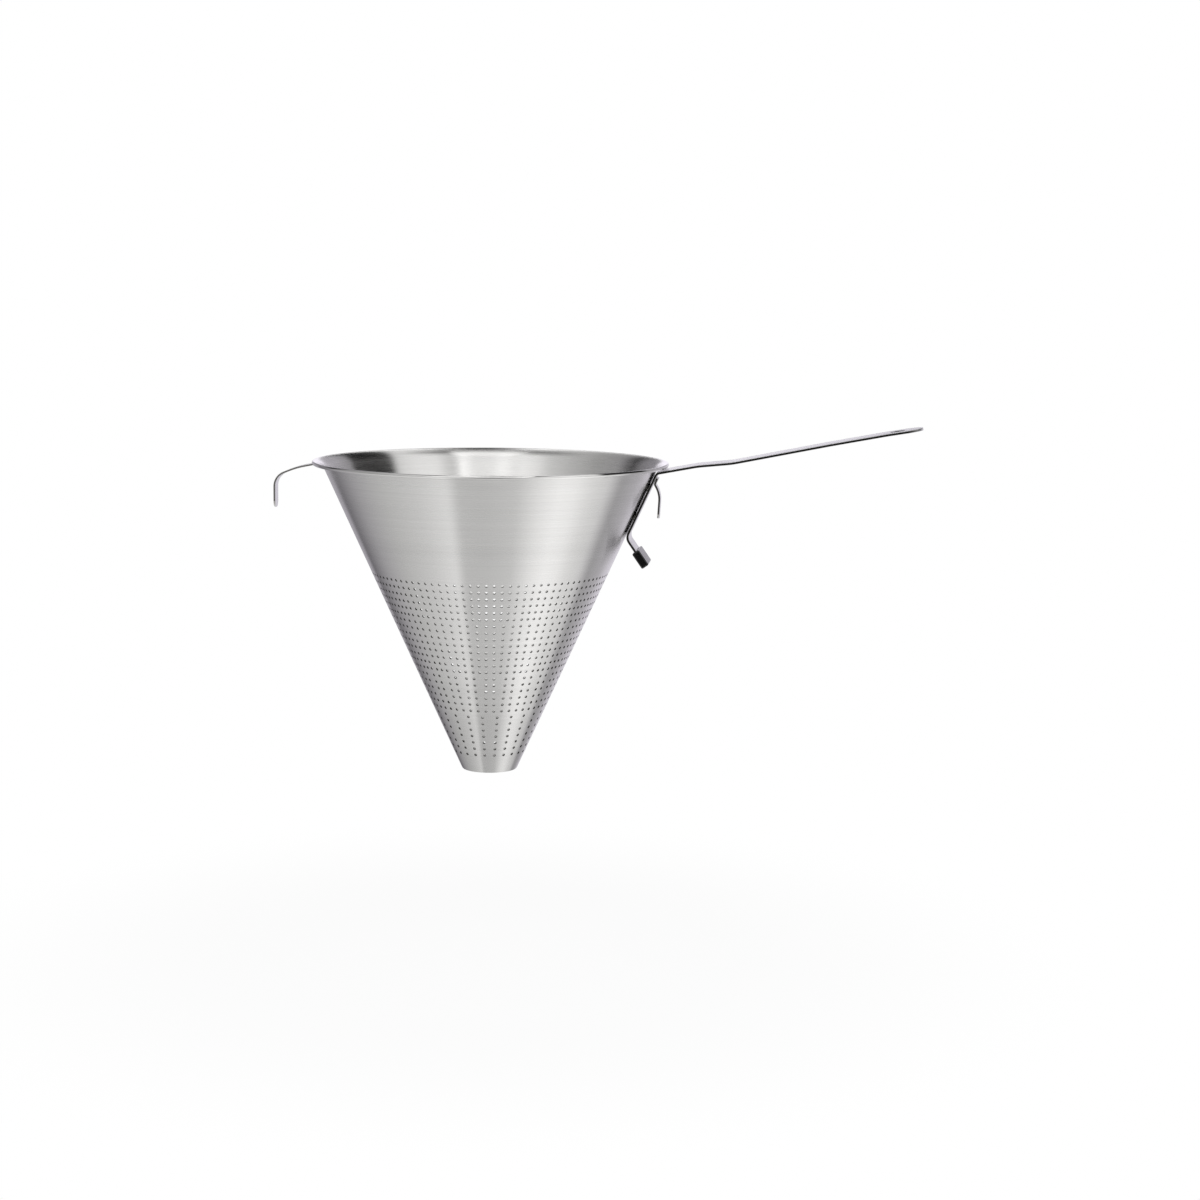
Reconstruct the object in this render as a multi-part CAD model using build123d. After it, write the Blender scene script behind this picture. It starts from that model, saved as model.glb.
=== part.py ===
from build123d import *
import math
import os

# A conical kitchen strainer that hangs in a pot. The origin is the centre of its flat base,
# +Z is up through the open top, and the handle runs out along +X. Lengths are millimetres.

# Cone and rim
RIM_DIAMETER = 220.0
RIM_HEIGHT = 193.0
BASE_DIAMETER = 33.7
WALL = 0.8
BASE_CORNER_RADIUS = 2.0
BEAD_DIAMETER = 2.3
LIP_OVERHANG = 4.7
FLARE_RADIUS = 8.0

# Round holes in the cone and its base
HOLE_DIAMETER = 1.85
TOP_ROW_HEIGHT = 124.3
ROW_PITCH = 4.73
PAIR_PITCH = 4.77
BASE_HOLE_PITCH = 4.7
SECTOR_COUNT = 24
# Rows from the top down: how many rows, whether each sector has its pair, how many holes between
ROW_GROUPS = ((6, True, 2), (8, True, 1), (6, True, 0), (7, False, 1))
BASE_RING_COUNTS = (6, 12)
# Holes are cut in a small copy of the wall, which is then brought back to its real size
CUT_SCALE = 0.01
OVERRUN = 2.0

# Handle, arm and foot leg, bent from one flat strip
STRIP_WIDTH = 23.0
STRIP_THICKNESS = 1.5
HANDLE_LENGTH = 154.6
HANDLE_RIM_GAP = 1.15
HANDLE_END_RADIUS = 10.5
DIP_START = 18.2
DIP_END = 39.3
TIP_START = 98.4
END_START = 132.6
ROOT_SLOPE = 11.0
DIP_SLOPE = 5.8
RISE_SLOPE = 11.6
TIP_SLOPE = 10.9
END_SLOPE = 9.6
HANDLE_BEND_RADIUS = 60.0
UPPER_BEND_RADIUS = 3.0
LOWER_BEND_RADIUS = 5.5
LOWER_BEND_HEIGHT = 147.7
LEG_SLOPE = -55.1
HANGING_HOLE_DIAMETER = 9.0
HANGING_HOLE_INSET = 15.5

# Push-on foot cap
FOOT_START = 10.0
FOOT_LENGTH = 11.1
FOOT_THICKNESS = 5.0
FOOT_SIDE_WALL = 1.1
FOOT_END_WALL = 1.8
FOOT_CLEARANCE = 0.05
FOOT_EDGE_RADIUS = 0.9

# Front hook, a strap that reaches over the far side of the pot
STRAP_WIDTH = 9.0
STRAP_THICKNESS = 1.2
STRAP_RIM_GAP = 0.5
STRAP_REACH = 25.0
STRAP_KNEE_REACH = 10.8
STRAP_SLOPE = -11.1
STRAP_KNEE_SLOPE = -22.0
STRAP_TAB_DEPTH = 18.8
STRAP_END_DEPTH = 31.0
STRAP_ROOT_RADIUS = 4.0
STRAP_KNEE_RADIUS = 55.0
STRAP_BEND_RADIUS = 9.5
STRAP_END_RADIUS = 4.2
STRAP_TAB_RADIUS = 1.5

# Rear hook, a bent clip whose tab lies on the arm
CLIP_WIDTH = 9.0
CLIP_THICKNESS = 1.3
CLIP_TAB_DEPTH = 8.5
CLIP_BEND_DEPTH = 12.5
CLIP_KNEE_DEPTH = 17.8
CLIP_END_DEPTH = 33.6
CLIP_SPLAY = -59.0
CLIP_TOE_IN = -93.2
CLIP_BEND_RADIUS = 1.5
CLIP_KNEE_RADIUS = 16.0
CLIP_END_RADIUS = 3.0
CLIP_TAB_RADIUS = 0.8

# Spot welds, which hold each strip a little off the face that it is welded to
WELD_GAP = 0.3
CLIP_WELD_GAP = 0.15
WELD_DIAMETER = 4.0
CLIP_WELD_DIAMETER = 2.2
ARM_WELD_DEPTHS = (15.0, 33.0)
ARM_WELD_SPACING = 10.0
STRAP_WELD_DEPTHS = (9.0, 15.0)
CLIP_WELD_SPACING = 4.6

# Sizes that follow from those above
BEAD_RADIUS = BEAD_DIAMETER / 2
BEAD_HEIGHT = RIM_HEIGHT - BEAD_RADIUS
BEAD_RING_RADIUS = RIM_DIAMETER / 2 - BEAD_RADIUS
BASE_RADIUS = BASE_DIAMETER / 2
CONE_SPREAD = (BEAD_RING_RADIUS - LIP_OVERHANG - BASE_RADIUS) / BEAD_HEIGHT
CONE_ANGLE = math.atan(CONE_SPREAD)
FOOT_WIDTH = STRIP_WIDTH + 2 * FOOT_SIDE_WALL


def cone_radius(height):
    """Outer radius of the straight cone at a height."""
    return BASE_RADIUS + height * CONE_SPREAD


def beside_cone(height, distance):
    """Point at a height, out from the cone by a distance square to its wall."""
    return (cone_radius(height) + distance / math.cos(CONE_ANGLE), height)


def flare_start_and_centre():
    """Where the lip leaves the straight cone, and the centre that it curves about.

    The lip's upper face is an arc that ends tangent to the top of the bead. Seen square to
    the wall, the centre is one flare radius out, and so far down that it and the bead's
    centre are the flare radius and the wall, less the bead's radius, apart."""
    along = Vector(math.sin(CONE_ANGLE), math.cos(CONE_ANGLE))
    out = Vector(math.cos(CONE_ANGLE), -math.sin(CONE_ANGLE))
    bead_out = LIP_OVERHANG * math.cos(CONE_ANGLE)
    bead_along = LIP_OVERHANG * math.sin(CONE_ANGLE)
    apart = FLARE_RADIUS + WALL - BEAD_RADIUS
    down = math.sqrt(apart ** 2 - (FLARE_RADIUS - bead_out) ** 2) - bead_along
    start = Vector(*beside_cone(BEAD_HEIGHT, 0)) - along * down
    return start, start + out * FLARE_RADIUS


def turned(centre, point, share):
    """Point on the arc about a centre, a share of the way from one point round to the bead."""
    bead = Vector(BEAD_RING_RADIUS, BEAD_HEIGHT)
    ray = point - centre
    full = ray.get_signed_angle(bead - centre, Vector(0, 0, 1))
    return centre + ray.rotate(Axis.Z, full * share)


def wall_section():
    """Half section of the cone, its lip and its closed base, in the radius and height plane."""
    start, centre = flare_start_and_centre()
    inward = (start - centre).normalized() * WALL
    inner_start = start + inward
    middle_share = 0.5
    lip_under = turned(centre, start, 1)
    lip_top = turned(centre, inner_start, 1)
    inner_base_radius = cone_radius(WALL) - WALL / math.cos(CONE_ANGLE)
    base = FilletPolyline((0, 0), (BASE_RADIUS, 0), start, radius=BASE_CORNER_RADIUS)
    flare_under = ThreePointArc(start, turned(centre, start, middle_share), lip_under)
    end = Line(lip_under, lip_top)
    flare_top = ThreePointArc(lip_top, turned(centre, inner_start, middle_share), inner_start)
    inner_radius = BASE_CORNER_RADIUS - WALL
    inside = FilletPolyline(inner_start, (inner_base_radius, WALL), (0, WALL), radius=inner_radius)
    axis = Line((0, WALL), (0, 0))
    return make_face([*base.edges(), flare_under, end, flare_top, *inside.edges(), axis])


def plain_cone():
    """The cone before it is perforated, with the bead rolled round the edge of its lip."""
    bead = Pos(BEAD_RING_RADIUS, BEAD_HEIGHT) * Circle(BEAD_RADIUS)
    return revolve(Plane.XZ * (wall_section() + bead), Axis.Z)


def row_angles(radius, has_pair, between):
    """Angles of one row's holes in degrees: parallel pairs, and holes spaced evenly between."""
    sector = 360 / SECTOR_COUNT
    half_pair = math.degrees(math.asin(PAIR_PITCH / 2 / radius)) if has_pair else 0
    step = (sector - 2 * half_pair) / (between + 1)
    offsets = [half_pair + step * k for k in range(1, between + 1)]
    if has_pair:
        offsets += [-half_pair, half_pair]
    first = sector / 2
    return [first + sector * k + offset for k in range(SECTOR_COUNT) for offset in offsets]


def wall_holes():
    """Place and direction of every hole in the cone, square to the wall."""
    places = []
    row = 0
    for count, has_pair, between in ROW_GROUPS:
        for _ in range(count):
            height = TOP_ROW_HEIGHT - row * ROW_PITCH * math.cos(CONE_ANGLE)
            radius = cone_radius(height)
            for angle in row_angles(radius, has_pair, between):
                turn = math.radians(angle)
                place = Vector(radius * math.cos(turn), radius * math.sin(turn), height)
                level = math.cos(CONE_ANGLE)
                out = Vector(level * math.cos(turn), level * math.sin(turn), -math.sin(CONE_ANGLE))
                places.append((place, out))
            row += 1
    return places


def base_holes():
    """Place and direction of the holes in the flat base: one, and rings round it."""
    down = Vector(0, 0, -1)
    places = [(Vector(0, 0, 0), down)]
    for ring, count in enumerate(BASE_RING_COUNTS, start=1):
        for k in range(count):
            spoke = Vector(ring * BASE_HOLE_PITCH, 0, 0).rotate(Axis.Z, 360 * k / count)
            places.append((spoke, down))
    return places


def strainer_cone():
    """The perforated cone, one sheet with its rolled rim and closed base."""
    small = plain_cone().scale(CUT_SCALE)
    radius = HOLE_DIAMETER / 2 * CUT_SCALE
    length = (2 * WALL + OVERRUN) * CUT_SCALE
    punches = []
    for place, out in wall_holes() + base_holes():
        punches.append(Plane(origin=place * CUT_SCALE, z_dir=out) * Cylinder(radius, length))
    return (small - punches).solids()[0].scale(1 / CUT_SCALE)


def shifted_path(points, bends, shift):
    """A bent path moved to its left by a distance, with every bend kept concentric."""
    corners = [Vector(*point) for point in points]
    headings = [(b - a).normalized() for a, b in zip(corners, corners[1:])]
    lefts = [Vector(-heading.Y, heading.X) for heading in headings]
    moved = [corners[0] + lefts[0] * shift]
    radii = []
    for corner, before, after, bend in zip(corners[1:-1], lefts, lefts[1:], bends):
        across = (before + after).normalized()
        moved.append(corner + across * (shift / across.dot(before)))
        radii.append(bend - math.copysign(1, before.cross(after).Z) * shift)
    moved.append(corners[-1] + lefts[-1] * shift)
    return FilletPolyline(*moved, radius=radii)


def bent_strip(points, bends, thickness, width):
    """A flat strip bent along a path in the plane of the handle."""
    left = shifted_path(points, bends, thickness / 2)
    right = shifted_path(points, bends, -thickness / 2)
    ends = [Line(left @ 0, right @ 0), Line(left @ 1, right @ 1)]
    outline = Plane.XZ * make_face([*left.edges(), *right.edges(), *ends])
    return extrude(outline, width / 2, both=True)


def rounded_end(strip, end, radius):
    """The strip with the two corners of one end rounded across its width."""
    place = Vector(end[0], 0, end[1])
    face = min(strip.faces(), key=lambda one: (one.center() - place).length)
    corners = sorted(face.edges(), key=lambda edge: edge.length)[:2]
    return fillet(corners, radius)


def onward(point, run, slope):
    """Point a level distance on from another, along a slope in degrees."""
    return (point[0] + run, point[1] + run * math.tan(math.radians(slope)))


def along(point, distance, slope):
    """Point a true distance on from another, along a slope in degrees."""
    turn = math.radians(slope)
    return (point[0] + distance * math.cos(turn), point[1] + distance * math.sin(turn))


def handle_path():
    """Centre line of the handle strip, from the foot up the arm and out to the tip."""
    offset = WELD_GAP + STRIP_THICKNESS / 2
    lower = beside_cone(LOWER_BEND_HEIGHT, offset)
    foot_end = along(lower, FOOT_START + FOOT_LENGTH - FOOT_END_WALL, LEG_SLOPE)
    half_rise = STRIP_THICKNESS / 2 / math.cos(math.radians(ROOT_SLOPE))
    under_bead = (BEAD_RING_RADIUS, BEAD_HEIGHT - BEAD_RADIUS - HANDLE_RIM_GAP - half_rise)
    root_rise = math.tan(math.radians(ROOT_SLOPE))
    arm_radius, arm_height = beside_cone(under_bead[1], offset)
    run = (under_bead[0] - arm_radius) / (1 - root_rise * CONE_SPREAD)
    upper = (under_bead[0] - run, arm_height - run * root_rise)
    rim = RIM_DIAMETER / 2
    dip = onward(under_bead, rim + DIP_START - under_bead[0], ROOT_SLOPE)
    rise = onward(dip, DIP_END - DIP_START, DIP_SLOPE)
    tip_bend = onward(rise, TIP_START - DIP_END, RISE_SLOPE)
    end_bend = onward(tip_bend, END_START - TIP_START, TIP_SLOPE)
    tip = onward(end_bend, HANDLE_LENGTH - END_START, END_SLOPE)
    return [foot_end, lower, upper, dip, rise, tip_bend, end_bend, tip]


def handle_strip():
    """Handle, arm and foot leg in one strip, with a hole at the tip to hang it by."""
    path = handle_path()
    bends = [LOWER_BEND_RADIUS, UPPER_BEND_RADIUS]
    bends += [HANDLE_BEND_RADIUS] * (len(path) - 2 - len(bends))
    strip = bent_strip(path, bends, STRIP_THICKNESS, STRIP_WIDTH)
    strip = rounded_end(strip, path[-1], HANDLE_END_RADIUS)
    hole = Cylinder(HANGING_HOLE_DIAMETER / 2, STRIP_THICKNESS + OVERRUN)
    centre = along(path[-1], -HANGING_HOLE_INSET, END_SLOPE)
    return strip - Pos(centre[0], 0, centre[1]) * Rot(0, -END_SLOPE, 0) * hole


def foot_cap():
    """A block with rounded edges and a blind slot, pushed on the end of the foot leg."""
    lower = handle_path()[1]
    top = along(lower, FOOT_START, LEG_SLOPE)
    place = Pos(top[0], 0, top[1]) * Rot(0, -LEG_SLOPE, 0)
    middle = Pos(FOOT_LENGTH / 2, 0, 0)
    block = middle * Box(FOOT_LENGTH, FOOT_WIDTH, FOOT_THICKNESS)
    block = fillet(block.edges(), FOOT_EDGE_RADIUS)
    depth = FOOT_LENGTH - FOOT_END_WALL + FOOT_CLEARANCE
    room = 2 * FOOT_CLEARANCE
    slot = Box(depth + OVERRUN, STRIP_WIDTH + room, STRIP_THICKNESS + room)
    return place * (block - Pos((depth - OVERRUN) / 2, 0, 0) * slot)


def front_hook_path():
    """Centre line of the strap, from its tab up the wall, under the bead and down its leg."""
    offset = WELD_GAP + STRAP_THICKNESS / 2
    tab_end = beside_cone(RIM_HEIGHT - STRAP_TAB_DEPTH, offset)
    half_rise = STRAP_THICKNESS / 2 / math.cos(math.radians(STRAP_SLOPE))
    under_bead = (BEAD_RING_RADIUS, BEAD_HEIGHT - BEAD_RADIUS - STRAP_RIM_GAP - half_rise)
    root_rise = math.tan(math.radians(STRAP_SLOPE))
    arm_radius, arm_height = beside_cone(under_bead[1], offset)
    run = (under_bead[0] - arm_radius) / (1 - root_rise * CONE_SPREAD)
    root = (under_bead[0] - run, arm_height - run * root_rise)
    rim = RIM_DIAMETER / 2
    knee = onward(under_bead, rim + STRAP_KNEE_REACH - under_bead[0], STRAP_SLOPE)
    bend = onward(knee, STRAP_REACH - STRAP_KNEE_REACH, STRAP_KNEE_SLOPE)
    leg_end = (bend[0], RIM_HEIGHT - STRAP_END_DEPTH)
    return [tab_end, root, knee, bend, leg_end]


def front_hook():
    """The strap that hooks over the pot's rim, opposite the handle."""
    path = front_hook_path()
    bends = [STRAP_ROOT_RADIUS, STRAP_KNEE_RADIUS, STRAP_BEND_RADIUS]
    strip = bent_strip(path, bends, STRAP_THICKNESS, STRAP_WIDTH)
    strip = rounded_end(strip, path[0], STRAP_TAB_RADIUS)
    strip = rounded_end(strip, path[-1], STRAP_END_RADIUS)
    return Rot(0, 0, 180) * strip


def rear_hook_path():
    """Centre line of the clip, from the top of its tab down the arm, then out and down its leg."""
    offset = WELD_GAP + STRIP_THICKNESS + CLIP_WELD_GAP + CLIP_THICKNESS / 2
    tab_end = beside_cone(RIM_HEIGHT - CLIP_TAB_DEPTH, offset)
    bend = beside_cone(RIM_HEIGHT - CLIP_BEND_DEPTH, offset)
    knee_drop = CLIP_KNEE_DEPTH - CLIP_BEND_DEPTH
    knee = along(bend, -knee_drop / math.sin(math.radians(CLIP_SPLAY)), CLIP_SPLAY)
    end_drop = CLIP_END_DEPTH - CLIP_KNEE_DEPTH
    leg_end = along(knee, -end_drop / math.sin(math.radians(CLIP_TOE_IN)), CLIP_TOE_IN)
    return [tab_end, bend, knee, leg_end]


def rear_hook():
    """The clip that grips the outside of the pot's wall, against the foot inside it."""
    path = rear_hook_path()
    strip = bent_strip(path, [CLIP_BEND_RADIUS, CLIP_KNEE_RADIUS], CLIP_THICKNESS, CLIP_WIDTH)
    strip = rounded_end(strip, path[0], CLIP_TAB_RADIUS)
    return rounded_end(strip, path[-1], CLIP_END_RADIUS)


def wall_weld(depth, across, strip_gap):
    """A weld that fills the gap between the cone and a strip beside it."""
    height = RIM_HEIGHT - depth
    face = beside_cone(height, strip_gap)
    tilt = math.degrees(CONE_ANGLE)
    reach = WELD_DIAMETER / 2
    nugget = Pos(-reach / 2, 0, 0) * Rot(0, 90, 0) * Cylinder(WELD_DIAMETER / 2, reach)
    nugget = Pos(face[0], across, face[1]) * Rot(0, tilt, 0) * nugget
    standing = (Align.CENTER, Align.CENTER, Align.MIN)
    return nugget - Cone(BASE_RADIUS, cone_radius(RIM_HEIGHT), RIM_HEIGHT, align=standing)


def handle_welds():
    """Four welds between the arm and the cone."""
    sides = (-ARM_WELD_SPACING / 2, ARM_WELD_SPACING / 2)
    return [wall_weld(depth, side, WELD_GAP) for depth in ARM_WELD_DEPTHS for side in sides]


def front_hook_welds():
    """Two welds between the strap's tab and the cone."""
    turn = Rot(0, 0, 180)
    return [turn * wall_weld(depth, 0, WELD_GAP) for depth in STRAP_WELD_DEPTHS]


def rear_hook_welds():
    """Two welds between the clip's tab and the arm."""
    tab_end, bend = rear_hook_path()[:2]
    tilt = math.degrees(CONE_ANGLE)
    down_wall = math.degrees(-math.pi / 2 - CONE_ANGLE)
    bend_length = CLIP_BEND_RADIUS * math.tan(math.radians(CLIP_SPLAY - down_wall) / 2)
    straight = (Vector(*bend) - Vector(*tab_end)).length - bend_length
    middle = along(tab_end, straight / 2, down_wall)
    inset = (CLIP_THICKNESS + CLIP_WELD_GAP) / 2
    disc = Pos(-inset, 0, 0) * Rot(0, 90, 0) * Cylinder(CLIP_WELD_DIAMETER / 2, CLIP_WELD_GAP)
    welds = []
    for side in (-CLIP_WELD_SPACING / 2, CLIP_WELD_SPACING / 2):
        welds.append(Pos(middle[0], side, middle[1]) * Rot(0, tilt, 0) * disc)
    return welds


def write(name, shape):
    """One file for each piece, or for a group of like pieces."""
    solids = [solid for one in (shape if isinstance(shape, list) else [shape]) for solid in one.solids()]
    kept = solids[0] if len(solids) == 1 else Compound(children=solids)
    export_step(kept, os.path.join("parts", name + ".step"))


os.makedirs("parts", exist_ok=True)
write("strainer_cone", strainer_cone())
write("handle_strip", handle_strip())
write("foot_cap", foot_cap())
write("front_hook", front_hook())
write("rear_hook", rear_hook())
write("handle_welds", handle_welds())
write("front_hook_welds", front_hook_welds())
write("rear_hook_welds", rear_hook_welds())
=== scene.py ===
import math

import bmesh
import bpy
import numpy as np
from mathutils import Matrix, Vector


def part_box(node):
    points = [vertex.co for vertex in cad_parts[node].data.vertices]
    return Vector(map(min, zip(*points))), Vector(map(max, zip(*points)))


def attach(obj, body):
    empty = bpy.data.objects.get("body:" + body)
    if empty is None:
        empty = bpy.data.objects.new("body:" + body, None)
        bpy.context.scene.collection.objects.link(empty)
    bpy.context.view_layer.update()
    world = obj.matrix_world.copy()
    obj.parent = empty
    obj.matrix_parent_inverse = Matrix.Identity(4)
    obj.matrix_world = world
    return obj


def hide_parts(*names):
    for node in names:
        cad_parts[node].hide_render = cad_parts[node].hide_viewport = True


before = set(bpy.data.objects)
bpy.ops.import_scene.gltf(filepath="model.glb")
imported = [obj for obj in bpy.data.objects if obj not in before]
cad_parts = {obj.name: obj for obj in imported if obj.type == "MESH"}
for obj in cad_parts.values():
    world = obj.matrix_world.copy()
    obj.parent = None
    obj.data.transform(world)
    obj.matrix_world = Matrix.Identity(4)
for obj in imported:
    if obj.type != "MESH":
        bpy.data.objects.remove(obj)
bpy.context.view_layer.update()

# Camera. It stands 1.6 metres in front of the strainer, a little above its rim, with the end
# of the handle turned slightly towards it, and it leans by half a degree.
CAMERA_DISTANCE = 1.581
CAMERA_HEIGHT = 0.320
CAMERA_TURN = math.radians(7.5)
CAMERA_YAW = math.radians(2.474)
CAMERA_PITCH = math.radians(-7.681)
CAMERA_ROLL = math.radians(0.58)
FOCAL_LENGTH_MM = 76.86
SENSOR_WIDTH_MM = 36

right = Vector((math.cos(CAMERA_YAW), -math.sin(CAMERA_YAW), 0))
level = math.cos(CAMERA_PITCH)
ahead = Vector((math.sin(CAMERA_YAW) * level, math.cos(CAMERA_YAW) * level, math.sin(CAMERA_PITCH)))
above = right.cross(ahead)
leaning_right = right * math.cos(CAMERA_ROLL) + above * math.sin(CAMERA_ROLL)
leaning_up = above * math.cos(CAMERA_ROLL) - right * math.sin(CAMERA_ROLL)
camera_axes = Matrix((leaning_right, leaning_up, -ahead)).transposed().to_4x4()
camera_place = Matrix.Translation((0, -CAMERA_DISTANCE, CAMERA_HEIGHT))
camera = bpy.data.objects.new("camera", bpy.data.cameras.new("camera"))
camera.data.sensor_width = SENSOR_WIDTH_MM
camera.data.lens = FOCAL_LENGTH_MM
camera.matrix_world = Matrix.Rotation(CAMERA_TURN, 4, "Z") @ camera_place @ camera_axes
bpy.context.scene.collection.objects.link(camera)
bpy.context.scene.camera = camera


# Studio. A pale floor lies under the hanging strainer, with one wide soft lamp overhead and
# the soft light of a pale room. The room's walls are white cards with dark gaps between, at
# other places above the strainer than below it, and the camera is dark against its card.
FLOOR_HEIGHT = -0.12
FLOOR_RADIUS = 3.0
FLOOR_SIDES = 96
FLOOR_COLOUR = (0.86, 0.86, 0.86, 1)
# The share of the strainer's shadow that the floor shows, and the distances from the axis
# between which it fades to none
SHADOW_SHARE = 0.07
SHADOW_REACH = (0.15, 0.4)
WHITE = (1, 1, 1, 1)
LAMP_POWER_W = 9.8
LAMP_WIDTH = 1.0
LAMP_LENGTH = 2.0
LAMP_PLACE = Vector((0.2, -0.76, 1.75))
# Brightness of the room by turn in degrees, from the strainer's left by the camera to its
# right, below the strainer and above it. The turn is that of the direction halfway between
# the camera's and the one looked at, so a band of the room is a mirror image of an upright
# band of the round wall that reflects it.
LOWER_ROOM = (
    (-90, 0.50), (-75, 0.42), (-71, 0.19), (-67, 0.26), (-56, 0.48), (-47, 0.62), (-40, 0.72),
    (-33, 0.80), (-27, 0.87), (-21, 0.97), (-15.5, 1.06), (-11.5, 0.73), (2, 0.82), (9, 0.83),
    (18, 1.17), (25, 1.35), (31, 1.29), (37, 1.09), (45, 0.93), (52, 0.48), (63, 0.58),
    (70, 0.75), (90, 0.80),
)
UPPER_ROOM = (
    (-90, 0.20), (-74, 0.30), (-69, 0.28), (-62, 0.04), (-57, 0.20), (-53, 0.38), (-41, 0.48),
    (-31, 0.69), (-22, 0.97), (-17, 1.38), (-12, 1.52), (-7, 1.05), (-4, 0.40), (0, 0.14),
    (6, 0.10), (12, 0.74), (20, 1.38), (27, 1.28), (36, 0.98), (39, 0.03), (58, 0.01),
    (61, 0.40), (70, 0.50), (90, 0.40),
)
# Degrees above the horizon where the lower room gives way to the upper one, and where that
# gives way to the dim ceiling round the lamp, with the ceiling's share of its brightness
ROOM_SEAM = (2, 14)
CEILING_SEAM = (52, 72)
CEILING_SHARE = 0.08
# A white card straight behind the strainer, as seen from the camera, above the horizon: its
# brightness, and the degrees from its middle and above the horizon where its edges fade
BACK_CARD = 1.05
BACK_CARD_REACH = (7, 12)
BACK_CARD_RISE = (-1, 3)
# The far part of the room is a little violet, past these halfway degrees from the camera
FAR_TINT = (1.01, 0.97, 1.06, 1)
FAR_FADE = (42, 73)
# A dark band in front, where the cards stop short of the horizon: the degrees from the
# horizon where it fades, how dark it is, and how far from the camera's side it reaches, as
# the part of a direction that points away from the camera
BAND_FADE = (3, 12)
BAND_DARKNESS = 0.7
BAND_REACH = (0.4, -0.2)
# The camera's rise over the strainer in degrees, and the dark spot that the camera makes: its
# turn and rise, the degrees from its middle where it fades, and how dark it is
CAMERA_RISE = 7.7
SPOT_TURN = -3
SPOT_RISE = -4
SPOT_FADE = (8, 21)
SPOT_DARKNESS = 0.95


def wire(tree, kind, inputs=None, **settings):
    """A new node with its settings, and its inputs linked to sockets or set to values."""
    node = tree.nodes.new(kind)
    for name, value in settings.items():
        setattr(node, name, value)
    for key, value in (inputs or {}).items():
        if isinstance(value, bpy.types.NodeSocket):
            tree.links.new(value, node.inputs[key])
        else:
            node.inputs[key].default_value = value
    return node


def sums(tree, operation, a, b=0.0):
    """The output of one Math node."""
    return wire(tree, "ShaderNodeMath", {0: a, 1: b}, operation=operation).outputs[0]


def fade(tree, value, reach, ends=(0.0, 1.0), kind="SMOOTHSTEP"):
    """A change from the first end to the second, while a value crosses its reach."""
    inputs = {
        "Value": value, "From Min": reach[0], "From Max": reach[1], "To Min": ends[0], "To Max": ends[1],
    }
    return wire(tree, "ShaderNodeMapRange", inputs, interpolation_type=kind).outputs["Result"]


def ramp(tree, value, stops):
    """A grey colour ramp with (place, brightness) stops, straight between them."""
    node = wire(tree, "ShaderNodeValToRGB", {"Fac": value})
    node.color_ramp.interpolation = "LINEAR"
    elements = node.color_ramp.elements
    while len(elements) < len(stops):
        elements.new(0.5)
    for element, (place, grey) in zip(elements, stops):
        element.position = place
        element.color = (grey, grey, grey, 1)
    return node.outputs["Color"]


def blend_colours(tree, share, first, second):
    """A colour between two, by a share from 0 to 1, on the Mix node's colour sockets."""
    node = wire(tree, "ShaderNodeMix", {"Factor": share}, data_type="RGBA")
    for socket, colour in ((node.inputs[6], first), (node.inputs[7], second)):
        if isinstance(colour, bpy.types.NodeSocket):
            tree.links.new(colour, socket)
        else:
            socket.default_value = colour
    return node.outputs[2]


def new_material(name):
    """An empty material and its node tree."""
    material = bpy.data.materials.new(name)
    material.use_nodes = True
    material.node_tree.nodes.clear()
    return material, material.node_tree


def close_material(tree, shader):
    """Links a shader to the material's output."""
    wire(tree, "ShaderNodeOutputMaterial", {"Surface": shader.outputs[0]})


def background_rays(tree):
    """1 where the camera sees the background, straight or through something clear."""
    rays = wire(tree, "ShaderNodeLightPath")
    return sums(tree, "MAXIMUM", rays.outputs["Is Camera Ray"], rays.outputs["Is Transmission Ray"])


def pale_floor():
    """White to the camera, with a faint shadow under the strainer, and plain pale paint to
    the light that falls on it."""
    material, tree = new_material("pale_floor")
    place = wire(tree, "ShaderNodeTexCoord").outputs["Object"]
    away = wire(tree, "ShaderNodeVectorMath", {0: place}, operation="LENGTH").outputs["Value"]
    white_share = fade(tree, away, SHADOW_REACH, (1 - SHADOW_SHARE, 1.0))
    paint = wire(tree, "ShaderNodeBsdfDiffuse", {"Color": FLOOR_COLOUR})
    white = wire(tree, "ShaderNodeEmission", {"Color": WHITE, "Strength": 1.0})
    share = sums(tree, "MULTIPLY", background_rays(tree), white_share)
    both = {0: share, 1: paint.outputs[0], 2: white.outputs[0]}
    close_material(tree, wire(tree, "ShaderNodeMixShader", both))
    return material


def sines(angles):
    """The sines of angles in degrees."""
    return [math.sin(math.radians(degrees)) for degrees in angles]


def cosines(angles):
    """The cosines of angles in degrees."""
    return [math.cos(math.radians(degrees)) for degrees in angles]


def room_cards(tree, turn, z):
    """The cards and gaps at a turn, blended from the lower room to the upper one."""
    round_share = sums(tree, "ADD", sums(tree, "DIVIDE", turn, math.pi), 0.5)
    lower, upper = [
        ramp(tree, round_share, [(degrees / 180 + 0.5, grey) for degrees, grey in stops])
        for stops in (LOWER_ROOM, UPPER_ROOM)
    ]
    return blend_colours(tree, fade(tree, z, sines(ROOM_SEAM)), lower, upper)


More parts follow.
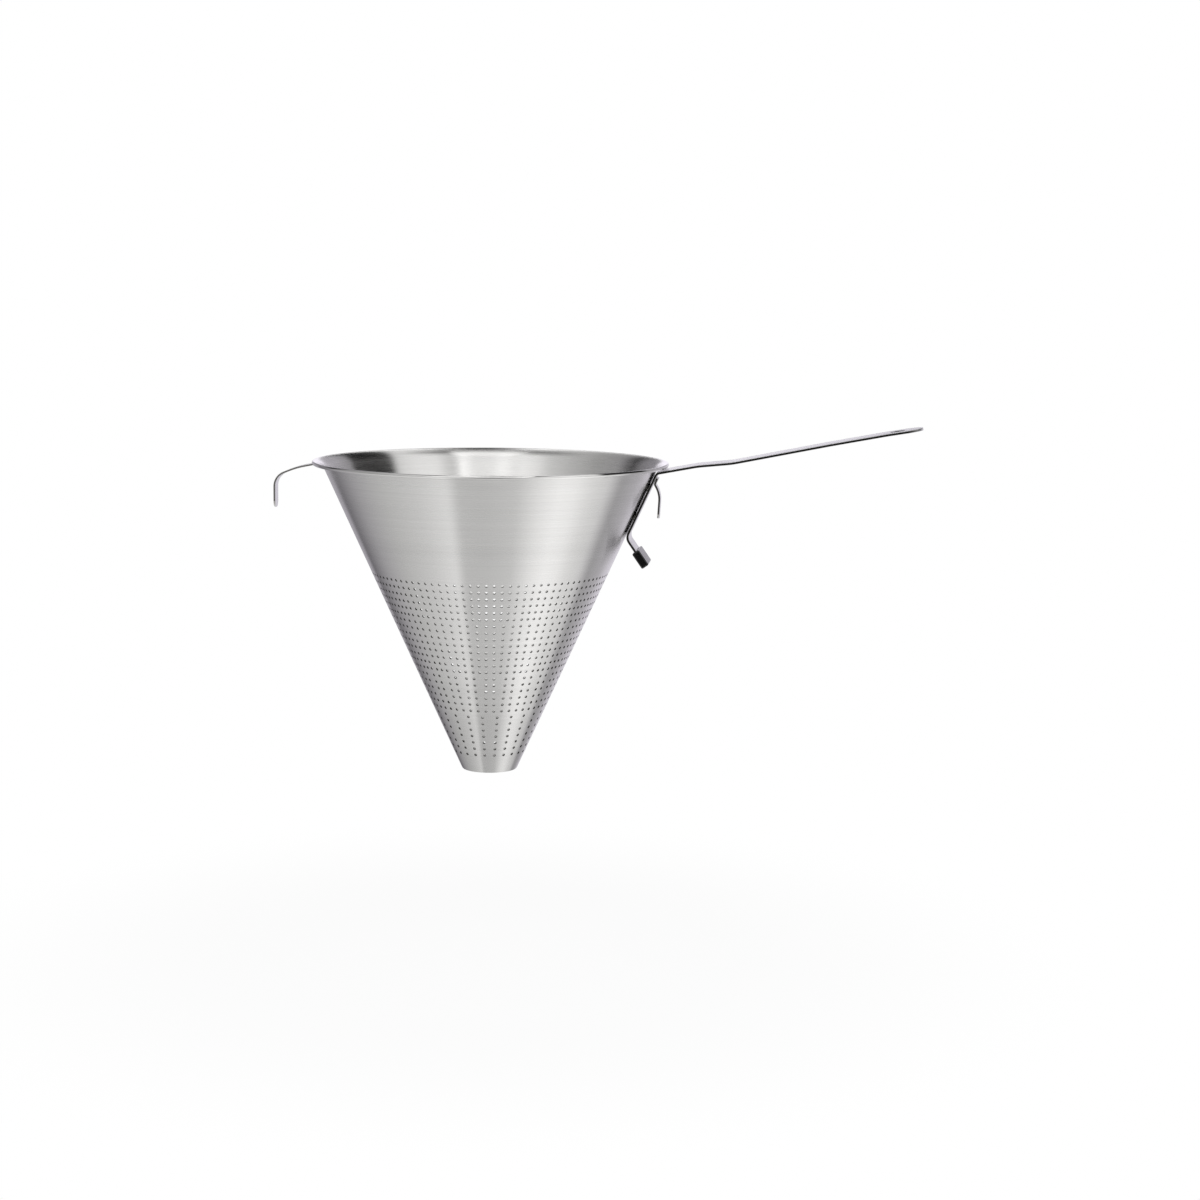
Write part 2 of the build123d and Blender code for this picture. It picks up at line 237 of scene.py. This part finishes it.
def room_dimming(tree, facing, y, z):
    """What the camera's spot and the band along the horizon leave of the cards' brightness."""
    spot_turn, spot_rise = math.radians(SPOT_TURN), math.radians(SPOT_RISE)
    spot_level = math.cos(spot_rise)
    spot = (spot_level * math.sin(spot_turn), -spot_level * math.cos(spot_turn), math.sin(spot_rise))
    both = {0: facing, 1: spot}
    toward = wire(tree, "ShaderNodeVectorMath", both, operation="DOT_PRODUCT").outputs["Value"]
    near, far = cosines(SPOT_FADE)
    unspotted = fade(tree, toward, (far, near), (1.0, 1 - SPOT_DARKNESS))
    banded = fade(tree, sums(tree, "ABSOLUTE", z), sines(BAND_FADE), (1 - BAND_DARKNESS, 1.0))
    in_front = fade(tree, y, BAND_REACH, kind="LINEAR")
    return sums(tree, "MULTIPLY", unspotted, blend_colours(tree, in_front, WHITE, banded))


def back_card(tree, y, z):
    """1 on the card behind the strainer, fading to 0 at its edges."""
    near, far = cosines(BACK_CARD_REACH)
    behind = fade(tree, y, (far, near))
    return sums(tree, "MULTIPLY", behind, fade(tree, z, sines(BACK_CARD_RISE)))


def pale_room():
    """The room that lights the strainer and that its steel reflects: cards round the horizon,
    dimmed by the camera and the band, a dim ceiling, the card behind, and a tint far from the
    camera. The camera itself sees plain white."""
    world = bpy.data.worlds.new("pale_room")
    world.use_nodes = True
    tree = world.node_tree
    tree.nodes.clear()
    place = wire(tree, "ShaderNodeTexCoord").outputs["Generated"]
    facing = wire(tree, "ShaderNodeMapping", {"Vector": place, "Rotation": (0, 0, -CAMERA_TURN)}).outputs[0]
    x, y, z = wire(tree, "ShaderNodeSeparateXYZ", {0: facing}).outputs
    halfway = sums(tree, "SUBTRACT", math.cos(math.radians(CAMERA_RISE)), y)
    turn = sums(tree, "ARCTAN2", x, halfway)
    walls = sums(tree, "MULTIPLY", room_cards(tree, turn, z), room_dimming(tree, facing, y, z))
    ceiling = fade(tree, z, sines(CEILING_SEAM), (1.0, CEILING_SHARE))
    dimmed = sums(tree, "MULTIPLY", walls, ceiling)
    grey = blend_colours(tree, back_card(tree, y, z), dimmed, (BACK_CARD, BACK_CARD, BACK_CARD, 1))
    far_reach = [math.radians(degrees) for degrees in FAR_FADE]
    tinting = fade(tree, sums(tree, "ABSOLUTE", turn), far_reach, kind="LINEAR")
    tint = blend_colours(tree, tinting, WHITE, FAR_TINT)
    tinted = wire(tree, "ShaderNodeVectorMath", {0: tint, 1: grey}, operation="MULTIPLY").outputs[0]
    room = wire(tree, "ShaderNodeBackground", {"Color": tinted})
    white = wire(tree, "ShaderNodeBackground", {"Color": WHITE})
    both = {0: background_rays(tree), 1: room.outputs[0], 2: white.outputs[0]}
    mixed = wire(tree, "ShaderNodeMixShader", both)
    wire(tree, "ShaderNodeOutputWorld", {"Surface": mixed.outputs[0]})
    return world


bpy.ops.mesh.primitive_circle_add(
    vertices=FLOOR_SIDES, radius=FLOOR_RADIUS, fill_type="NGON", location=(0, 0, FLOOR_HEIGHT)
)
floor = bpy.context.active_object
floor.name = "floor"
floor.data.materials.append(pale_floor())
# The steel reflects the room, and not the floor
floor.visible_glossy = False

lamp = bpy.data.objects.new("soft_lamp", bpy.data.lights.new("soft_lamp", "AREA"))
lamp.data.energy = LAMP_POWER_W
lamp.data.shape = "RECTANGLE"
lamp.data.size = LAMP_WIDTH
lamp.data.size_y = LAMP_LENGTH
lamp_turn = (-LAMP_PLACE).to_track_quat("-Z", "Y").to_matrix().to_4x4()
lamp.matrix_world = Matrix.Translation(LAMP_PLACE) @ lamp_turn
bpy.context.scene.collection.objects.link(lamp)
bpy.context.scene.world = pale_room()
bpy.context.scene.view_settings.view_transform = "Standard"


# Strainer cone. One sheet of stainless steel, drawn to a cone with a closed base, punched with
# rows of small holes, and flared at the top into a lip whose edge is rolled into a fine bead.
# It is one surface that closes on itself, and it is brushed round and round.
WALL = 0.0008
BASE_RADIUS = 0.01685
BASE_CORNER_RADIUS = 0.002
BEAD_RADIUS = 0.00115
LIP_OVERHANG = 0.0047
FLARE_RADIUS = 0.008
HOLE_RADIUS = 0.000925
TOP_ROW_HEIGHT = 0.1243
ROW_PITCH = 0.00473
PAIR_PITCH = 0.00477
SECTORS = 24
# Rows from the top down: how many, whether each sector has its pair, how many holes between
ROW_GROUPS = ((6, True, 2), (8, True, 1), (6, True, 0), (7, False, 1))
SECTOR_STEPS = 12
# Rings of holes in the base, each one pitch further out: how many holes, and how many points
# on the low and the high side of a hole's cell, so that neighbouring rings meet
BASE_HOLE_PITCH = 0.0047
BASE_RINGS = ((6, (2, 4)), (12, (2, SECTORS * SECTOR_STEPS // 12)))
HOLE_SIDE_STEPS = 3
# Plain bands of the wall below and above the rows
PLAIN_STEPS = (1, 4)
ARC_STEPS = 8
BEAD_STEPS = 16
# Corners of faces that are nearer than this become one point
SAME_POINT = 1e-7
DARK_SHEET = (0.622, 0.616, 0.607, 1)
PALE_SHEET = (0.718, 0.712, 0.701, 1)
# Painted shade darkens the metal's colour towards the tip: the heights where that starts and ends, and how
# much
TIP_SHADE_HEIGHTS = (0.0, 0.08)
TIP_SHADE_BRIGHTNESS = 0.84
# The colour of the holes' cut walls, near black: painted shade inside the holes
HOLE_WALL_SHADE = (0.07, 0.068, 0.065, 1)
# The grain's scale round the axis, which falls as the radius grows, and its scale up the
# wall, with a share of the radius added to the height, so that flat parts have rings too
ROUND_SCALE = 30.0
ROUND_SCALE_FALL = 40.0
ROUND_SCALE_START = 0.5
CLIMB_SCALE = 1500.0
RADIUS_SHARE = 0.5
# Roughness: what the clouds give, what the scratches add, and what a hole's wall adds
CLOUD_ROUGHNESS = (0.23, 0.29)
SCRATCH_ROUGHNESS = (-0.03, 0.03)
PUNCHED_ROUGHNESS = 0.2
# Distances from the axis between which the rim grows smoother, from the lip to its bead, and
# the share of its roughness that it loses
RIM_POLISH = (0.1055, 0.1078)
RIM_POLISH_SHARE = 0.6
# Reflections stretch across the brushing, a quarter turn from the tangent that runs along it
ANISOTROPY = 1.0
ANISOTROPY_TURN = 0.25
# The grain shared by the sheet and the strips: its scales, details, and scratches' shares,
# and how strong and how deep the scratches are
FINE_SCALE = 1.0
FINE_DETAIL = 3.0
FINE_SHARE = 0.6
BROAD_SCALE = 0.22
BROAD_SHARE = 0.4
CLOUD_SCALE = 0.03
SLOW_DETAIL = 2.0
GRAIN_BUMP = 0.03
BUMP_DEPTH = 0.0002
# Noise lies mostly between these values
NOISE_REACH = (0.3, 0.7)

cone_low, cone_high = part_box("strainer_cone")
# The bead touches the nearest side of the box, so the round sheet stays inside it
rim_radius = min(*cone_high.xy, *(-cone_low).xy)
bead = np.array([rim_radius - BEAD_RADIUS, cone_high.z - BEAD_RADIUS])
foot = np.array([BASE_RADIUS, 0.0])
cone_angle = math.atan((bead[0] - LIP_OVERHANG - BASE_RADIUS) / bead[1])
cone_sine, cone_cosine = math.sin(cone_angle), math.cos(cone_angle)
sector = 2 * math.pi / SECTORS
columns = SECTORS * SECTOR_STEPS


class Sheet:
    """Four-cornered faces, gathered as arrays of their corners' places and normals."""

    def __init__(self):
        self.places = []
        self.normals = []
        self.punched = []

    def add(self, places, normals, flipped=False, punched=False):
        """Adds faces of shape (..., 4, 3), turned over if asked, and marks those in a hole."""
        order = slice(None, None, -1 if flipped else 1)
        self.places.append(places.reshape(-1, 4, 3)[:, order])
        self.normals.append(normals.reshape(-1, 4, 3)[:, order])
        self.punched.append(np.full(len(self.places[-1]), float(punched)))

    def piece(self, name):
        """One object from the faces, with corners in the same place joined to one point."""
        places = np.concatenate(self.places).reshape(-1, 3)
        normals = np.concatenate(self.normals).reshape(-1, 3)
        keys = np.round(places / SAME_POINT).astype(np.int64)
        _, first, corner = np.unique(keys, axis=0, return_index=True, return_inverse=True)
        faces = corner.reshape(-1, 4)
        mesh = bpy.data.meshes.new(name)
        mesh.from_pydata(places[first], [], faces.tolist())
        mesh.polygons.foreach_set("use_smooth", np.ones(len(faces), bool))
        mesh.normals_split_custom_set(normals.tolist())
        mark = mesh.attributes.new("punched", "FLOAT", "FACE")
        mark.data.foreach_set("value", np.concatenate(self.punched))
        made = bpy.data.objects.new(name, mesh)
        bpy.context.scene.collection.objects.link(made)
        return made


def turned(angle, radius, height):
    """Points at an angle round the axis: (radius cos, radius sin, height)."""
    angle, radius, height = np.broadcast_arrays(angle, radius, height)
    return np.stack([radius * np.cos(angle), radius * np.sin(angle), height], -1)


def between(start, end, steps):
    """Evenly spaced values from start up to but not including end, along a new last axis."""
    share = np.arange(steps) / steps
    return np.asarray(start, float)[..., None] * (1 - share) + np.asarray(end, float)[..., None] * share


def quads(grid):
    """Four-cornered faces of a grid of points, with its last row joined to nothing."""
    return np.stack([grid[:-1, :-1], grid[:-1, 1:], grid[1:, 1:], grid[1:, :-1]], 2)


def add_bands(sheet, radius, height, out, rise, count=columns):
    """Plain bands round the axis, for a profile given by the radius and height at each ring,
    with the outward and upward parts of its normal there."""
    angle = sector / 2 + 2 * math.pi * np.arange(count + 1) / count
    angle[-1] = angle[0]
    ring = [np.asarray(part, float)[:, None] for part in (radius, height, out, rise)]
    sheet.add(quads(turned(angle[None], ring[0], ring[1])), quads(turned(angle[None], ring[2], ring[3])))


def on_wall(angle, path, inside):
    """Points and normals on the straight wall. The path runs up its outer face from the sharp
    corner of the base, and the inner face lies one wall in, square to it."""
    radius = BASE_RADIUS + path * cone_sine - inside * WALL * cone_cosine
    side = 1 - 2 * inside
    places = turned(angle, radius, path * cone_cosine + inside * WALL * cone_sine)
    return places, turned(angle, side * cone_cosine, -side * cone_sine) + np.zeros_like(places)


def on_base(angle, path, inside):
    """Points and normals on the flat base. The path runs out from its middle."""
    places = turned(angle, path, inside * WALL)
    return places, np.zeros_like(places) + (0, 0, 2 * inside - 1)


def add_holes(sheet, surface, middle, path, half_path, low, high, steps):
    """One cell of sheet round each hole of a row, on both faces, and the hole's own wall.

    A cell's edge runs along its low side, up, back along its high side and down. Each point of
    it faces a point of the hole's circle, and four-cornered faces join the two loops. middle
    holds the holes' angles, low and high the cells' (left, right) corner angles at each side,
    and steps the number of points along the low and the high side."""
    side = HOLE_SIDE_STEPS
    runs = (steps[0], side, steps[1], side)
    corners = (low[0], low[1], high[1], high[0], low[0])
    angle = np.concatenate([between(corners[k], corners[k + 1], runs[k]) for k in range(4)], -1)
    shift = (-half_path, -half_path, half_path, half_path, -half_path)
    along = path + np.concatenate([between(shift[k], shift[k + 1], runs[k]) for k in range(4)])
    quarter = math.pi / 2
    spin = np.concatenate([between((k - 1.5) * quarter, (k - 0.5) * quarter, runs[k]) for k in range(4)])
    across, up = HOLE_RADIUS * np.cos(spin), HOLE_RADIUS * np.sin(spin)
    rims = []
    for inside in (0, 1):
        if surface is on_base:
            rim_path = np.hypot(path + up, across)
            rim_turn = np.arctan2(across, path + up)
        else:
            rim_path = path + up
            rim_turn = np.arctan2(across, BASE_RADIUS + rim_path * cone_sine - inside * WALL * cone_cosine)
        edge, edge_normals = surface(angle, along[None], inside)
        rim, rim_normals = surface(middle[:, None] + rim_turn, rim_path[None], inside)
        loops = [edge, np.roll(edge, -1, 1), np.roll(rim, -1, 1), rim]
        normals = [edge_normals, np.roll(edge_normals, -1, 1), np.roll(rim_normals, -1, 1), rim_normals]
        sheet.add(np.stack(loops, 2), np.stack(normals, 2), flipped=bool(inside))
        rims.append(rim)
    toward = (rims[0] + rims[1]).mean(1, keepdims=True) / 2 - (rims[0] + rims[1]) / 2
    toward = toward / np.linalg.norm(toward, axis=-1, keepdims=True)
    after = np.roll(toward, -1, 1)
    wall = [rims[0], np.roll(rims[0], -1, 1), np.roll(rims[1], -1, 1), rims[1]]
    sheet.add(np.stack(wall, 2), np.stack([toward, after, after, toward], 2), punched=True)


def row_angles(radius, has_pair, extra):
    """Angles in one sector of a row's holes, and of the cell corners halfway between them."""
    half_pair = math.asin(PAIR_PITCH / 2 / radius) if has_pair else 0.0
    step = (sector - 2 * half_pair) / (extra + 1)
    holes = [half_pair + step * k for k in range(1, extra + 1)]
    if has_pair:
        holes = [-half_pair, half_pair] + holes
    corners = [(a + b) / 2 for a, b in zip([holes[-1] - sector] + holes, holes + [holes[0] + sector])]
    return np.array(holes), np.array(corners)


def even_corners(has_pair, extra):
    """Evenly spaced cell corners, for the ring where rows of two patterns meet."""
    cells = extra + 2 * has_pair
    return sector / cells * (np.arange(cells + 1) - has_pair)


def add_rows(sheet):
    """Every row of holes in the wall. Gives the paths of the lowest and highest edges."""
    starts = sector / 2 + sector * np.arange(SECTORS)
    rows = [(group, *pattern[1:]) for group, pattern in enumerate(ROW_GROUPS) for _ in range(pattern[0])]
    top = TOP_ROW_HEIGHT / cone_cosine
    half = ROW_PITCH / 2
    for row, (group, has_pair, extra) in enumerate(rows):
        path = top - row * ROW_PITCH
        holes = row_angles(BASE_RADIUS + path * cone_sine, has_pair, extra)[0]
        sides = []
        for neighbour, edge in ((row + 1, path - half), (row - 1, path + half)):
            same = 0 <= neighbour < len(rows) and rows[neighbour][0] == group
            radius = BASE_RADIUS + edge * cone_sine
            corners = row_angles(radius, has_pair, extra)[1] if same else even_corners(has_pair, extra)
            ring = starts[:, None] + corners[None]
            sides.append((ring[:, :-1].ravel(), ring[:, 1:].ravel()))
        steps = SECTOR_STEPS // len(holes)
        middle = (starts[:, None] + holes[None]).ravel()
        add_holes(sheet, on_wall, middle, path, half, sides[0], sides[1], (steps, steps))
    return path - half, top + half


def add_base(sheet):
    """The base with its middle hole and two rings of holes. Gives its plain edge's radius."""
    half = BASE_HOLE_PITCH / 2
    ring = np.array([HOLE_RADIUS, half])
    first_count, first_steps = BASE_RINGS[0]
    sides = first_count * first_steps[0]
    add_bands(sheet, ring, (0, 0), (0, 0), (-1, -1), sides)
    add_bands(sheet, ring[::-1], (WALL, WALL), (0, 0), (1, 1), sides)
    add_bands(sheet, (HOLE_RADIUS,) * 2, (WALL, 0), (-1, -1), (0, 0), sides)
    for number, (count, steps) in enumerate(BASE_RINGS, 1):
        middle = 2 * math.pi * np.arange(count) / count
        corners = (middle - math.pi / count, middle + math.pi / count)
        path = number * BASE_HOLE_PITCH
        add_holes(sheet, on_base, middle, path, half, corners, corners, steps)
    return path + half


def strainer_cone():
    """The whole surface: base, corner, wall, flared lip, bead, and back down the inside.

    The flare is an arc about a centre outside the cone. The bead is an arc round its own
    centre, from where the flare's under face meets it to where the upper face is tangent."""
    sheet = Sheet()
    base_edge = add_base(sheet)
    low_edge, high_edge = add_rows(sheet)
    along, out = np.array([cone_sine, cone_cosine]), np.array([cone_cosine, -cone_sine])
    apart = FLARE_RADIUS + WALL - BEAD_RADIUS
    flare_drop = math.sqrt(apart ** 2 - (FLARE_RADIUS - (bead - foot) @ out) ** 2)
    flare_edge = (bead - foot) @ along - flare_drop
    tangent = BASE_CORNER_RADIUS * math.tan((math.pi / 2 - cone_angle) / 2)
    spin = np.linspace(-math.pi / 2, -cone_angle, ARC_STEPS + 1)
    for inside, way in ((0, 1), (1, -1)):
        depth = inside * WALL
        flat = np.array([base_edge, BASE_RADIUS - tangent])[::way]
        add_bands(sheet, flat, (depth,) * 2, (0, 0), (-way, -way))
        rays = np.stack([np.cos(spin), np.sin(spin)], 1)[::way]
        corner = np.array([BASE_RADIUS - tangent, BASE_CORNER_RADIUS]) + rays * (BASE_CORNER_RADIUS - depth)
        add_bands(sheet, *corner.T, *(rays * way).T)
        for start, end, steps in zip((tangent, high_edge), (low_edge, flare_edge), PLAIN_STEPS):
            path = np.linspace(start, end, steps + 1)[::way, None]
            wall = foot + path * along - out * depth
            add_bands(sheet, *wall.T, *(np.ones_like(path) * out * way).T)
    centre = foot + along * flare_edge + out * FLARE_RADIUS
    full = math.acos(-out @ (bead - centre) / apart)
    meeting_turn = math.acos((FLARE_RADIUS ** 2 + apart ** 2 - BEAD_RADIUS ** 2) / (2 * FLARE_RADIUS * apart))
    ends = []
    under = (0, full - meeting_turn, FLARE_RADIUS, 1)
    upper = (full, 0, FLARE_RADIUS + WALL, -1)
    for start, end, radius, way in (under, upper):
        turn = np.linspace(start, end, ARC_STEPS + 1)
        rays = np.outer(np.sin(turn), along) - np.outer(np.cos(turn), out)
        arc = centre + rays * radius
        add_bands(sheet, *arc.T, *(-rays * way).T)
        ends.append((arc[-1] if way == 1 else arc[0]) - bead)
    first = math.atan2(ends[0][1], ends[0][0]) % (2 * math.pi)
    last = math.atan2(ends[1][1], ends[1][0]) + 2 * math.pi
    spin = np.linspace(first, last, BEAD_STEPS + 1)
    rays = np.stack([np.cos(spin), np.sin(spin)], 1)
    add_bands(sheet, *(bead + rays * BEAD_RADIUS).T, *rays.T)
    return sheet.piece("strainer_cone_steel")


def spread(tree, value, ends=(0.0, 1.0)):
    """A noise value, spread over another range."""
    return fade(tree, value, NOISE_REACH, ends, "LINEAR")


def noise(tree, place, scale, detail):
    """A noise value from 0 to 1."""
    inputs = {"Vector": place, "Scale": scale, "Detail": detail}
    return wire(tree, "ShaderNodeTexNoise", inputs).outputs["Fac"]


def bumped(tree, height, strength):
    """A normal that follows a height from 0 to 1."""
    inputs = {"Height": height, "Strength": strength, "Distance": BUMP_DEPTH}
    return wire(tree, "ShaderNodeBump", inputs).outputs[0]


def brushed_grain():
    """A group that takes a place, stretched along the brushing, and gives both from 0 to 1:
    fine scratches with broader ones among them, and slow clouds of duller metal."""
    tree = bpy.data.node_groups.new("brushed_grain", "ShaderNodeTree")
    tree.interface.new_socket("Vector", in_out="INPUT", socket_type="NodeSocketVector")
    tree.interface.new_socket("Scratches", in_out="OUTPUT", socket_type="NodeSocketFloat")
    tree.interface.new_socket("Clouds", in_out="OUTPUT", socket_type="NodeSocketFloat")
    place = wire(tree, "NodeGroupInput").outputs["Vector"]
    fine = sums(tree, "MULTIPLY", noise(tree, place, FINE_SCALE, FINE_DETAIL), FINE_SHARE)
    broad = sums(tree, "MULTIPLY", noise(tree, place, BROAD_SCALE, SLOW_DETAIL), BROAD_SHARE)
    clouds = noise(tree, place, CLOUD_SCALE, SLOW_DETAIL)
    wire(tree, "NodeGroupOutput", {"Scratches": sums(tree, "ADD", fine, broad), "Clouds": clouds})
    return tree


grain = brushed_grain()


def grain_at(tree, place):
    """The shared grain in a material: its scratches and its clouds."""
    node = tree.nodes.new("ShaderNodeGroup")
    node.node_tree = grain
    tree.links.new(place, node.inputs["Vector"])
    return node.outputs["Scratches"], node.outputs["Clouds"]


def sheet_steel():
    """Stainless sheet, brushed round the axis, darker towards the tip by painted shade, smoother at
    the rim, and rough in the walls of its holes, whose colour is painted near black as shade."""
    material, tree = new_material("sheet_steel")
    place = wire(tree, "ShaderNodeTexCoord").outputs["Object"]
    x, y, z = wire(tree, "ShaderNodeSeparateXYZ", {0: place}).outputs
    flat = wire(tree, "ShaderNodeCombineXYZ", {0: x, 1: y})
    radius = wire(tree, "ShaderNodeVectorMath", {0: flat.outputs[0]}, operation="LENGTH").outputs["Value"]
    fall = sums(tree, "ADD", sums(tree, "MULTIPLY", radius, ROUND_SCALE_FALL), ROUND_SCALE_START)
    slow = sums(tree, "DIVIDE", ROUND_SCALE, fall)
    raised = sums(tree, "ADD", z, sums(tree, "MULTIPLY", radius, RADIUS_SHARE))
    climb = sums(tree, "MULTIPLY", raised, CLIMB_SCALE)
    parts = {0: sums(tree, "MULTIPLY", x, slow), 1: sums(tree, "MULTIPLY", y, slow), 2: climb}
    scratches, clouds = grain_at(tree, wire(tree, "ShaderNodeCombineXYZ", parts).outputs[0])
    # Painted shade: the sheet's colour darkens towards the tip
    tip_shade = fade(tree, z, TIP_SHADE_HEIGHTS, (TIP_SHADE_BRIGHTNESS, 1.0))
    bright = blend_colours(tree, spread(tree, scratches), DARK_SHEET, PALE_SHEET)
    face_tone = wire(tree, "ShaderNodeVectorMath", {0: bright, 1: tip_shade}, operation="MULTIPLY").outputs[0]
    punched = wire(tree, "ShaderNodeAttribute", attribute_name="punched").outputs["Fac"]
    # The holes' walls take the near-black painted shade
    tone = blend_colours(tree, punched, face_tone, HOLE_WALL_SHADE)
    rim = fade(tree, radius, RIM_POLISH, kind="LINEAR")
    unpolished = sums(tree, "SUBTRACT", 1.0, sums(tree, "MULTIPLY", rim, RIM_POLISH_SHARE))
    scratched = spread(tree, scratches, SCRATCH_ROUGHNESS)
    dull = sums(tree, "ADD", scratched, spread(tree, clouds, CLOUD_ROUGHNESS))
    polished = sums(tree, "MULTIPLY", dull, unpolished)
    rough = sums(tree, "ADD", polished, sums(tree, "MULTIPLY", punched, PUNCHED_ROUGHNESS))
    tangent = wire(tree, "ShaderNodeTangent", direction_type="RADIAL", axis="Z")
    close_material(tree, wire(tree, "ShaderNodeBsdfPrincipled", {
        "Base Color": tone, "Metallic": 1.0, "Roughness": rough, "Anisotropic": ANISOTROPY,
        "Anisotropic Rotation": ANISOTROPY_TURN, "Tangent": tangent.outputs[0],
        "Normal": bumped(tree, scratches, GRAIN_BUMP),
    }))
    return material


cone = strainer_cone()
cone.data.materials.append(sheet_steel())
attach(cone, "root")
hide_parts("strainer_cone")


# Strips. The handle with its arm and foot leg, the front hook and the clip are bent flat
# strip, whose cut edges are slightly rounded, and darker than the polished faces. The
# handle's cut edges are painted darker still, as painted shade.
STRIP_EDGE_RADIUS = 0.00025
CLIP_EDGE_RADIUS = 0.00018
EDGE_SEGMENTS = 3
EDGE_ANGLE = math.radians(40)
# Points of the loose CAD triangles that are one, and faces turned so little that they are one
MERGE_DISTANCE = 1e-6
FLAT_ANGLE = math.radians(0.3)
# Cut edges' tones: dull cut steel for the hooks, and near black for the handle, whose extra darkness is
# painted shade
HANDLE_CUT_AND_SHADE = (0.13, 0.127, 0.12, 1)
HOOK_CUT = (0.45, 0.44, 0.42, 1)
DARK_STRIP = (0.62, 0.62, 0.62, 1)
PALE_STRIP = (0.74, 0.74, 0.75, 1)
# The grain's scale along each axis: fine across the strips, and slow along them
STRIP_GRAIN = (60, 2200, 60)
STRIP_ROUGHNESS = (0.18, 0.26)
CUT_POLISH = 0.04
# The sideways part of a face's normal, from the polished faces to the cut edges
CUT_FACING = (0.5, 0.95)


def rounded_copy(node, name, edge_radius):
    """A merged copy of a node's mesh, with its sharp edges rounded and its flat faces flat."""
    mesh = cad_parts[node].data.copy()
    mesh.materials.clear()
    work = bmesh.new()
    work.from_mesh(mesh)
    bmesh.ops.remove_doubles(work, verts=work.verts, dist=MERGE_DISTANCE)
    bmesh.ops.dissolve_limit(work, angle_limit=FLAT_ANGLE, verts=work.verts, edges=work.edges)
    work.to_mesh(mesh)
    work.free()
    mesh.polygons.foreach_set("use_smooth", np.ones(len(mesh.polygons), bool))
    made = bpy.data.objects.new(name, mesh)
    bpy.context.scene.collection.objects.link(made)
    rounding = made.modifiers.new("rounded_edges", "BEVEL")
    rounding.width = edge_radius
    rounding.segments = EDGE_SEGMENTS
    rounding.limit_method = "ANGLE"
    rounding.angle_limit = EDGE_ANGLE
    flats = made.modifiers.new("flat_faces", "WEIGHTED_NORMAL")
    flats.keep_sharp = True
    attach(made, "root")
    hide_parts(node)
    return made


def strip_steel(name, cut_tone):
    """Stainless strip, brushed along its length, with darker cut edges."""
    material, tree = new_material(name)
    place = wire(tree, "ShaderNodeTexCoord").outputs["Object"]
    stretched = wire(tree, "ShaderNodeMapping", {"Vector": place, "Scale": STRIP_GRAIN})
    scratches, clouds = grain_at(tree, stretched.outputs[0])
    facing = wire(tree, "ShaderNodeNewGeometry").outputs["Normal"]
    across = sums(tree, "ABSOLUTE", wire(tree, "ShaderNodeSeparateXYZ", {0: facing}).outputs[1])
    edge = fade(tree, across, CUT_FACING, kind="LINEAR")
    face_tone = blend_colours(tree, spread(tree, scratches), DARK_STRIP, PALE_STRIP)
    tone = blend_colours(tree, edge, face_tone, cut_tone)
    polish = sums(tree, "MULTIPLY", edge, CUT_POLISH)
    rough = sums(tree, "SUBTRACT", spread(tree, clouds, STRIP_ROUGHNESS), polish)
    close_material(tree, wire(tree, "ShaderNodeBsdfPrincipled", {
        "Base Color": tone, "Metallic": 1.0, "Roughness": rough,
        "Normal": bumped(tree, scratches, GRAIN_BUMP),
    }))
    return material


handle_steel = strip_steel("handle_steel", HANDLE_CUT_AND_SHADE)
hook_steel = strip_steel("hook_steel", HOOK_CUT)
for node, edge_radius, steel in (
    ("handle_strip", STRIP_EDGE_RADIUS, handle_steel),
    ("front_hook", STRIP_EDGE_RADIUS, hook_steel),
    ("rear_hook", CLIP_EDGE_RADIUS, hook_steel),
):
    strip = rounded_copy(node, node + "_steel", edge_radius)
    strip.data.materials.append(steel)


# Spot welds. Small discs of bare, heat-darkened steel in the gaps between the strips and what
# they are welded to.
BLOTCH_SCALE = 900.0
BLOTCH_DETAIL = 3.0
DARK_WELD = (0.26, 0.24, 0.22, 1)
PALE_WELD = (0.48, 0.47, 0.45, 1)
WELD_ROUGHNESS = (0.42, 0.6)
WELD_BUMP = 0.3


def weld_steel():
    """Bare weld metal, matt and blotched by heat."""
    material, tree = new_material("weld_steel")
    place = wire(tree, "ShaderNodeTexCoord").outputs["Object"]
    blotches = noise(tree, place, BLOTCH_SCALE, BLOTCH_DETAIL)
    tone = blend_colours(tree, spread(tree, blotches), DARK_WELD, PALE_WELD)
    close_material(tree, wire(tree, "ShaderNodeBsdfPrincipled", {
        "Base Color": tone, "Metallic": 1.0, "Roughness": spread(tree, blotches, WELD_ROUGHNESS),
        "Normal": bumped(tree, blotches, WELD_BUMP),
    }))
    return material


weld_finish = weld_steel()
for node in ("handle_welds", "front_hook_welds", "rear_hook_welds"):
    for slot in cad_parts[node].material_slots:
        slot.material = weld_finish


# Foot cap. A small block of black plastic, moulded with a soft gloss and a little mottled, and
# pushed on the end of the foot leg.
CAP_EDGE_RADIUS = 0.0001
CAP_GRAIN_SCALE = 2500.0
CAP_MOTTLE_SCALE = 180.0
CAP_DETAIL = 2.0
DARK_CAP = (0.002, 0.002, 0.002, 1)
PALE_CAP = (0.005, 0.005, 0.005, 1)
CAP_ROUGHNESS = (0.14, 0.22)
CAP_BUMP = 0.08


def cap_plastic():
    """Black plastic with a fine moulded texture and a soft gloss."""
    material, tree = new_material("cap_plastic")
    place = wire(tree, "ShaderNodeTexCoord").outputs["Object"]
    grainy = noise(tree, place, CAP_GRAIN_SCALE, CAP_DETAIL)
    mottled = noise(tree, place, CAP_MOTTLE_SCALE, CAP_DETAIL)
    tone = blend_colours(tree, spread(tree, mottled), DARK_CAP, PALE_CAP)
    close_material(tree, wire(tree, "ShaderNodeBsdfPrincipled", {
        "Base Color": tone, "Roughness": spread(tree, mottled, CAP_ROUGHNESS),
        "Normal": bumped(tree, grainy, CAP_BUMP),
    }))
    return material


cap = rounded_copy("foot_cap", "foot_cap_plastic", CAP_EDGE_RADIUS)
cap.data.materials.append(cap_plastic())
